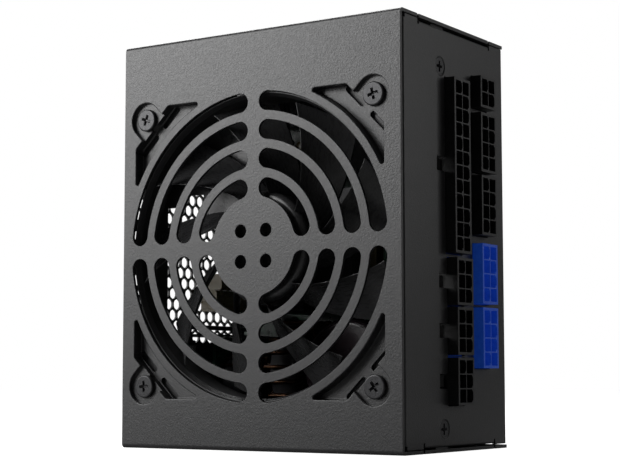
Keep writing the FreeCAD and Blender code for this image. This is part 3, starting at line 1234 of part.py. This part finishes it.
# ================================================================ every piece in its own file
def main():
    os.makedirs("parts", exist_ok=True)
    save("fan_side_cover", make_cover())
    save("chassis_tray", make_chassis())
    save("cover_screws", make_case_screws())

    save("fan_frame", make_fan_frame())
    save("fan_screws", make_fan_screws())
    save("fan_impeller", make_impeller())
    cup, magnet, shaft, clip = make_rotor()
    save("fan_rotor_cup", cup)
    save("fan_magnet_ring", magnet)
    save("fan_shaft", shaft)
    save("fan_shaft_clip", clip)
    save("fan_bearing", make_bearing())
    core, coils = make_stator()
    save("fan_stator_core", core)
    save("fan_stator_windings", coils)
    save("fan_circuit_board", make_fan_board())
    leads, plug = make_fan_cable()
    save("fan_leads", leads)
    save("fan_plug", plug)
    save("air_baffle", group([make_baffle(), make_baffle_rivet()]))

    for name, places in HEADERS.items():
        save(name, group([make_header(*place) for place in places]))
    save("header_contacts", make_contacts())
    save("output_board", make_output_board())
    save("busbars", make_busbars())

    save("ac_inlet_body", make_inlet())
    save("ac_inlet_pins", make_inlet_pins())
    save("switch_housing", make_switch())
    save("switch_rocker", make_rocker())
    save("switch_terminals", make_switch_terminals())
    save("mains_wires", make_mains_wires())
    earth, earth_screw = make_ground()
    save("ground_wire", earth)
    save("ground_screw", earth_screw)

    save("main_board", make_main_board())
    save("insulating_films", group([make_insulating_sheet(), make_inlet_shield()]))
    save("board_standoffs", make_standoffs())
    save("board_screws", make_board_screws())
    save("filter_board", make_filter_board())
    cores, windings = make_filter_chokes()
    save("filter_choke_cores", cores)
    save("filter_choke_windings", windings)
    save("line_capacitors", make_line_capacitors())
    save("fuse", make_fuse())
    save("surge_varistor", make_disc_part(*VARISTOR))
    save("inrush_thermistor", make_disc_part(*THERMISTOR))
    save("inrush_relay", make_relay())
    save("bridge_rectifier", make_bridge())
    save("primary_heatsink", finned_sink(*PRIMARY_SINK))
    save("power_transistors", make_transistors())
    core, winding = make_pfc_choke()
    save("pfc_choke_core", core)
    save("pfc_choke_winding", winding)
    save("bulk_capacitor", standing_can(*BULK_CAPACITOR))
    core, windings = make_transformer()
    save("transformer_core", core)
    save("transformer_windings", windings)
    save("resonant_inductor", block_coil(*RESONANT_COIL))
    save("standby_transformer", block_coil(*STANDBY_COIL))
    save("output_chokes", group([block_coil(*coil) for coil in OUTPUT_COILS]))
    save("rectifier_board", make_rectifier_board())
    save("secondary_heatsink", make_secondary_sink())
    can = (OUTPUT_CAPACITOR_R, OUTPUT_CAPACITOR_TALL)
    save("output_capacitors", group([standing_can(x, z, *can) for x, z in OUTPUT_CAPACITORS]))
    save("control_board", make_control_board())


main()
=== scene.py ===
import json
import math

import bmesh
import bpy
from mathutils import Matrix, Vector

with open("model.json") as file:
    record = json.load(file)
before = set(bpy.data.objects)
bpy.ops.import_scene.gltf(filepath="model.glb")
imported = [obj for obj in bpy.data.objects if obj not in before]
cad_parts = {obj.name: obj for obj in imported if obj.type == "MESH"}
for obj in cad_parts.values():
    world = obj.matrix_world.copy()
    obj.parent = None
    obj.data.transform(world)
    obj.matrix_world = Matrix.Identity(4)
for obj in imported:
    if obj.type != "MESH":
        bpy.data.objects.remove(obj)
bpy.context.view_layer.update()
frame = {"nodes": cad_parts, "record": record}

MM = 0.001

# The camera stands low, to the right of the fan grille, and looks slightly up.
CAMERA_PLACE = (265.475, -402.445, 20.473)  # mm
CAMERA_AZIMUTH = 33.555
CAMERA_TILT = 5.428
CAMERA_ROLL = 0.044
CAMERA_LENS = 90.275
SENSOR = 36.0

# Softboxes, all turned to the middle of the unit: name, place (mm), width and height (mm), power (W).
LIT_POINT = (0, 0, 60)
SOFTBOXES = [
    ("key", (-489, -626, 483), (500, 500), 4.2),
    ("low", (-600, -590, 265), (520, 360), 2.6),
    ("side", (640, 570, 300), (420, 420), 0.65),
    ("top", (0, 120, 860), (600, 600), 3.0),
    ("rear", (-330, 560, 760), (600, 500), 4.5),
]
WORLD_GLOW = 0.035

FLOOR_GREY = 0.3
FLOOR_GLOW = 0.985  # what the camera sees of the floor by itself, so that it looks white
FLOOR_RADIUS = 4.0  # metres
FLOOR_DROP = 0.05  # mm below the unit

nodes = frame["nodes"]


# ---------------------------------------------------------------- materials

class Finish:
    """A Principled material with its own detail. Sizes of texture are in metres on the object."""

    def __init__(self, name, colour, rough, metal=0.0, **sockets):
        self.material = bpy.data.materials.new(name)
        self.material.use_nodes = True
        self.tree = self.material.node_tree
        self.shader = self.tree.nodes["Principled BSDF"]
        self.shader.inputs["Metallic"].default_value = metal
        self.shader.inputs["Base Color"].default_value = (*colour, 1.0)
        self.shader.inputs["Roughness"].default_value = rough
        for socket, value in sockets.items():
            self.shader.inputs[socket.replace("_", " ")].default_value = value
        self.colour = colour
        self.place = self.node("ShaderNodeTexCoord").outputs["Object"]
        self.normal = None

    def node(self, kind, inputs=(), **settings):
        made = self.tree.nodes.new(kind)
        for key, value in settings.items():
            setattr(made, key, value)
        for key, value in dict(inputs).items():
            if isinstance(value, bpy.types.NodeSocket):
                self.tree.links.new(value, made.inputs[key])
            else:
                made.inputs[key].default_value = value
        return made

    def stretched(self, scale):
        """The place on the object, squeezed by a scale along each axis."""
        return self.node("ShaderNodeMapping", {"Vector": self.place, "Scale": scale}).outputs["Vector"]

    def noise(self, size, detail=3.0, scale=(1, 1, 1)):
        vector = self.stretched(scale)
        inputs = {"Vector": vector, "Scale": 1.0 / size, "Detail": detail, "Roughness": 0.55}
        return self.node("ShaderNodeTexNoise", inputs).outputs["Fac"]

    def cells(self, size, feature="F1"):
        inputs = {"Vector": self.place, "Scale": 1.0 / size}
        return self.node("ShaderNodeTexVoronoi", inputs, feature=feature).outputs["Distance"]

    def bands(self, size, axis, distortion=0.0):
        inputs = {"Vector": self.place, "Scale": 0.05 * 2 * math.pi / size, "Distortion": distortion}
        return self.node("ShaderNodeTexWave", inputs, bands_direction=axis).outputs["Fac"]

    def spread(self, value, low, high, start=0.3, end=0.7):
        """A value that runs from low to high as the given one runs from start to end."""
        inputs = {"Value": value, "From Min": start, "From Max": end, "To Min": low, "To Max": high}
        return self.node("ShaderNodeMapRange", inputs).outputs["Result"]

    def times(self, a, b):
        return self.node("ShaderNodeMath", {0: a, 1: b}, operation="MULTIPLY").outputs["Value"]

    def mixed(self, amount, a, b):
        made = self.node("ShaderNodeMix", {"Factor": amount}, data_type="RGBA")
        for socket, value in ((made.inputs[6], a), (made.inputs[7], b)):
            if isinstance(value, bpy.types.NodeSocket):
                self.tree.links.new(value, socket)
            else:
                socket.default_value = (*value, 1.0)
        return made.outputs[2]

    def tint(self, amount, other):
        """Mixes another colour into what the surface has so far."""
        socket = self.shader.inputs["Base Color"]
        before = socket.links[0].from_socket if socket.links else self.colour
        self.tree.links.new(self.mixed(amount, before, other), socket)
        return self

    def roughness(self, value):
        self.tree.links.new(value, self.shader.inputs["Roughness"])
        return self

    def soften(self, radius):
        """Rounds the look of every sharp edge by a radius."""
        self.normal = self.node("ShaderNodeBevel", {"Radius": radius}, samples=4).outputs["Normal"]
        self.tree.links.new(self.normal, self.shader.inputs["Normal"])
        return self

    def edges(self, radius, start=0.03, end=0.25):
        """1 along sharp edges, falling to 0 a radius away from them."""
        rounded = self.node("ShaderNodeBevel", {"Radius": radius}, samples=4).outputs["Normal"]
        plain = self.node("ShaderNodeNewGeometry").outputs["Normal"]
        turned = self.node("ShaderNodeVectorMath", {0: rounded, 1: plain}, operation="DOT_PRODUCT")
        return self.spread(turned.outputs["Value"], 1.0, 0.0, 1.0 - end, 1.0 - start)

    def bump(self, height, distance, strength=1.0):
        inputs = {"Height": height, "Distance": distance, "Strength": strength}
        made = self.node("ShaderNodeBump", inputs)
        if self.normal is not None:
            self.tree.links.new(self.normal, made.inputs["Normal"])
        self.normal = made.outputs["Normal"]
        self.tree.links.new(self.normal, self.shader.inputs["Normal"])
        return self


def moulded(name, colour, rough, grain=0.25, depth=0.012, edge=0.2, rub_and_highlight_gain=2.0, **sockets):
    """Moulded plastic: a fine tool grain, soft edges that catch the light, and a faint uneven gloss. Its
    edges are painted lighter: rubbed wear, and where the edge gain is high, a painted highlight along the
    rims.
    """
    made = Finish(name, colour, rough, **sockets)
    made.soften(edge * MM)
    made.bump(made.noise(grain * MM, 2.0), depth * MM)
    cloudy = made.noise(9 * MM, 3.0)
    made.roughness(made.spread(cloudy, rough - 0.06, rough + 0.08))
    # edge colour: rubbed wear, and with a high gain a painted highlight along the rims
    rub_and_highlight_tone = tuple(min(1.0, c * rub_and_highlight_gain + 0.012) for c in colour)
    patches = made.spread(made.noise(3 * MM), 0.35, 0.9)
    made.tint(made.times(made.edges(edge * 1.4 * MM), patches), rub_and_highlight_tone)
    made.tint(made.spread(made.noise(0.6 * MM, 4.0), 0.0, 0.18), tuple(c * 0.55 for c in colour))
    return made


def bare_metal(name, colour, rough, grain=(1, 1, 1), stain=0.55, metal=1.0):
    """Plain or plated metal with fine drawing lines along one way and some dulled patches."""
    made = Finish(name, colour, rough, metal)
    made.soften(0.12 * MM)
    lines = made.noise(0.5 * MM, 4.0, grain)
    made.bump(lines, 0.006 * MM)
    made.roughness(made.spread(lines, rough - 0.08, rough + 0.14))
    made.tint(made.spread(made.noise(4 * MM, 4.0), 0.0, 0.45), tuple(c * stain for c in colour))
    return made


def dipped(name, colour, rough, lumps=2.0, depth=0.05, speckle=0.7):
    """A dipped or fired surface: slightly lumpy, with small dark specks."""
    made = Finish(name, colour, rough)
    made.bump(made.noise(lumps * MM, 3.0), depth * MM)
    specks = made.spread(made.cells(0.5 * MM), 1.0, 0.0, 0.05, 0.25)
    amount = made.times(specks, made.spread(made.noise(1.5 * MM), 0.0, 0.6))
    made.tint(amount, tuple(c * speckle for c in colour))
    made.roughness(made.spread(made.noise(3 * MM), rough - 0.08, rough + 0.12))
    return made


def case_coat():
    """Fine textured powder coat over bent sheet steel, scuffed brighter along folds and sheared edges."""
    made = Finish("case_coat", (0.021, 0.021, 0.022), 0.36)
    made.soften(0.2 * MM)
    orange_peel = made.noise(0.5 * MM, 2.0)
    made.bump(orange_peel, 0.065 * MM, 0.8)
    made.roughness(made.spread(made.noise(0.7 * MM, 3.0), 0.32, 0.4))
    made.tint(made.spread(orange_peel, 0.0, 0.6), (0.034, 0.034, 0.035))
    made.tint(made.spread(made.noise(35 * MM, 3.0), 0.0, 0.3), (0.018, 0.018, 0.019))
    rub = made.times(made.edges(0.35 * MM), made.spread(made.noise(2.5 * MM, 4.0), 0.25, 0.8))
    made.tint(rub, (0.07, 0.07, 0.073))
    return made


def case_screw():
    made = bare_metal("case_screw", (0.035, 0.035, 0.037), 0.3, metal=0.5)
    rub = made.times(made.edges(0.12 * MM), made.spread(made.noise(0.8 * MM), 0.2, 0.7))
    made.tint(rub, (0.16, 0.16, 0.165))
    return made


def header_blue():
    """Blue nylon with a painted glow: a faint blue emission stands in for light shining through its thin
    walls. It is paler blue in random patches.
    """
    # painted glow: the emission makes the plastic glow blue by itself, though it is no lamp
    made = moulded("header_blue", (0.008, 0.06, 0.52), 0.34, edge=0.1, rub_and_highlight_gain=1.6, Emission_Strength=0.1)
    made.shader.inputs["Emission Color"].default_value = (0.02, 0.12, 0.8, 1.0)
    made.tint(made.spread(made.noise(2.2 * MM, 3.0), 0.0, 0.6), (0.03, 0.14, 0.66))
    return made


def impeller_plastic():
    """Glossy moulded plastic with faint flow lines, and a high edge gain that paints bright highlights
    along the blade rims.
    """
    # the edge gain of 4.0 paints a bright highlight along the blade rims
    made = moulded("impeller_plastic", (0.03, 0.03, 0.031), 0.26, 1.2, 0.01, 0.3, 4.0)
    made.roughness(made.spread(made.noise(2.5 * MM, 3.0, (1, 4, 1)), 0.22, 0.36))
    return made


def board():
    """Green solder resist over copper tracks, with the weave of the glass cloth below it."""
    made = Finish("board", (0.004, 0.02, 0.011), 0.34)
    tracks = made.spread(made.cells(3.2 * MM, "DISTANCE_TO_EDGE"), 1.0, 0.0, 0.06, 0.09)
    made.tint(tracks, (0.007, 0.04, 0.018))
    weave = made.times(made.bands(0.8 * MM, "X"), made.bands(0.8 * MM, "Z"))
    made.bump(weave, 0.01 * MM)
    made.tint(made.spread(weave, 0.0, 0.15), (0.004, 0.014, 0.008))
    made.roughness(made.spread(made.noise(2 * MM), 0.25, 0.42))
    return made


def copper():
    """Enamelled copper, with the fine steps between turns and a warmer tone where the enamel is thick."""
    made = bare_metal("copper", (0.13, 0.07, 0.042), 0.32, stain=0.6)
    made.tint(made.spread(made.noise(0.7 * MM, 2.0), 0.0, 0.5), (0.09, 0.045, 0.025))
    return made


def ferrite():
    made = dipped("ferrite", (0.055, 0.055, 0.06), 0.55, 0.6, 0.02, 1.6)
    made.tint(made.spread(made.noise(0.3 * MM, 4.0), 0.0, 0.5), (0.09, 0.09, 0.095))
    return made


def winding_tape():
    """Yellow film tape wound in layers, with its overlapping edges."""
    made = moulded("winding_tape", (0.055, 0.043, 0.018), 0.35, 0.8, 0.01)
    laps = made.spread(made.bands(2.4 * MM, "Y", 0.6), 0.0, 1.0, 0.0, 0.2)
    made.bump(laps, 0.06 * MM)
    made.tint(made.spread(made.bands(2.4 * MM, "Y", 0.6), 0.35, 0.0, 0.0, 0.25), (0.035, 0.026, 0.01))
    return made


def wire_insulation():
    return moulded("wire_insulation", (0.035, 0.035, 0.036), 0.42, 0.7, 0.02)


def insulator():
    return moulded("insulator", (0.03, 0.03, 0.032), 0.3, 4.0, 0.05)


def heatsink_metal():
    return bare_metal("heatsink_metal", (0.55, 0.56, 0.58), 0.38, (1, 1, 14), stain=0.8)


FINISHES = {
    "case_coat": case_coat,
    "case_screw": case_screw,
    "fan_frame_plastic": lambda: moulded("fan_frame_plastic", (0.02, 0.02, 0.021), 0.42),
    "impeller_plastic": impeller_plastic,
    "steel": lambda: bare_metal("steel", (0.5, 0.5, 0.51), 0.3, (1, 1, 8)),
    "magnet": lambda: dipped("magnet", (0.04, 0.04, 0.042), 0.6, 0.8, 0.02),
    "bearing_metal": lambda: bare_metal("bearing_metal", (0.55, 0.4, 0.2), 0.45, stain=0.7),
    "standoff_brass": lambda: bare_metal("standoff_brass", (0.72, 0.53, 0.24), 0.26, (1, 12, 1), stain=0.8),
    "copper": copper,
    "board": board,
    "header_black": lambda: moulded("header_black", (0.006, 0.006, 0.0065), 0.34, edge=0.09, rub_and_highlight_gain=3.0),
    "header_blue": header_blue,
    "contact_tin": lambda: bare_metal("contact_tin", (0.72, 0.71, 0.67), 0.25, (6, 1, 1), stain=0.7),
    "inlet_plastic": lambda: moulded("inlet_plastic", (0.022, 0.022, 0.023), 0.4),
    "switch_plastic": lambda: moulded("switch_plastic", (0.018, 0.018, 0.019), 0.24, 0.4, 0.006),
    "wire_insulation": wire_insulation,
    "plug_plastic": lambda: moulded("plug_plastic", (0.75, 0.72, 0.62), 0.45, rub_and_highlight_gain=1.1),
    "insulator": insulator,
    "ferrite": ferrite,
    "winding_tape": winding_tape,
    "film_capacitor": lambda: moulded("film_capacitor", (0.08, 0.06, 0.02), 0.28, rub_and_highlight_gain=1.3),
    "fuse_body": lambda: dipped("fuse_body", (0.75, 0.72, 0.66), 0.3, 1.0, 0.01, 0.8),
    "varistor_coat": lambda: dipped("varistor_coat", (0.03, 0.11, 0.4), 0.35),
    "thermistor_coat": lambda: dipped("thermistor_coat", (0.03, 0.1, 0.045), 0.4),
    "relay_case": lambda: moulded("relay_case", (0.025, 0.025, 0.027), 0.24),
    "package_epoxy": lambda: moulded("package_epoxy", (0.03, 0.03, 0.032), 0.5, 0.15, 0.02),
    "heatsink_metal": heatsink_metal,
    "capacitor_sleeve": lambda: moulded("capacitor_sleeve", (0.03, 0.02, 0.025), 0.25, 2.0, 0.02),
}


def coat_nodes():
    """Gives every CAD node the finish of its slot in the record."""
    made = {slot: make().material for slot, make in FINISHES.items()}
    for entry in frame["record"]["subparts"]:
        materials = nodes[entry["node"]].data.materials
        materials.clear()
        materials.append(made[entry["material_slot"]])


# ---------------------------------------------------------------- stage

def area_light(name, place, size, power):
    """A softbox at a place, turned to the lit point, in millimetres."""
    lamp = bpy.data.lights.new(name, "AREA")
    lamp.shape = "RECTANGLE"
    lamp.size, lamp.size_y = (side * MM for side in size)
    lamp.energy = power
    holder = bpy.data.objects.new(name, lamp)
    holder.location = Vector(place) * MM
    aim = Vector(LIT_POINT) - Vector(place)
    holder.rotation_euler = aim.to_track_quat("-Z", "Y").to_euler()
    bpy.context.scene.collection.objects.link(holder)


def make_lights():
    for softbox in SOFTBOXES:
        area_light(*softbox)


def make_world():
    """White to the eye, and dimmer as a light, so that black parts stay black."""
    world = bpy.data.worlds.new("studio")
    bpy.context.scene.world = world
    world.use_nodes = True
    tree = world.node_tree
    tree.nodes.clear()
    path = tree.nodes.new("ShaderNodeLightPath")
    seen = tree.nodes.new("ShaderNodeBackground")
    glow = tree.nodes.new("ShaderNodeBackground")
    mix = tree.nodes.new("ShaderNodeMixShader")
    out = tree.nodes.new("ShaderNodeOutputWorld")
    seen.inputs["Color"].default_value = (1, 1, 1, 1)
    glow.inputs["Color"].default_value = (1, 1, 1, 1)
    glow.inputs["Strength"].default_value = WORLD_GLOW
    tree.links.new(path.outputs["Is Camera Ray"], mix.inputs["Fac"])
    tree.links.new(glow.outputs["Background"], mix.inputs[1])
    tree.links.new(seen.outputs["Background"], mix.inputs[2])
    tree.links.new(mix.outputs["Shader"], out.inputs["Surface"])


def make_floor():
    """A wide pale floor. It glows to the camera alone, so it throws little light back on the unit."""
    made = Finish("floor", (FLOOR_GREY,) * 3, 0.7, Emission_Color=(1.0, 1.0, 1.0, 1.0))
    made.roughness(made.spread(made.noise(0.2), 0.65, 0.75))
    seen = made.node("ShaderNodeLightPath").outputs["Is Camera Ray"]
    made.tree.links.new(made.times(seen, FLOOR_GLOW), made.shader.inputs["Emission Strength"])
    mesh = bpy.data.meshes.new("floor")
    work = bmesh.new()
    bmesh.ops.create_circle(work, cap_ends=True, radius=FLOOR_RADIUS, segments=96)
    work.to_mesh(mesh)
    work.free()
    mesh.materials.append(made.material)
    floor = bpy.data.objects.new("floor", mesh)
    floor.location.z = -FLOOR_DROP * MM
    bpy.context.scene.collection.objects.link(floor)


def make_camera():
    data = bpy.data.cameras.new("camera")
    data.sensor_width = SENSOR
    data.lens = CAMERA_LENS
    data.clip_start = 0.01
    data.clip_end = 20.0
    camera = bpy.data.objects.new("camera", data)
    camera.location = Vector(CAMERA_PLACE) * MM
    turn = (90.0 + CAMERA_TILT, CAMERA_ROLL, CAMERA_AZIMUTH)
    camera.rotation_euler = [math.radians(a) for a in turn]
    bpy.context.scene.collection.objects.link(camera)
    bpy.context.scene.camera = camera


coat_nodes()
make_floor()
make_lights()
make_world()
make_camera()
bpy.context.scene.view_settings.view_transform = "Standard"
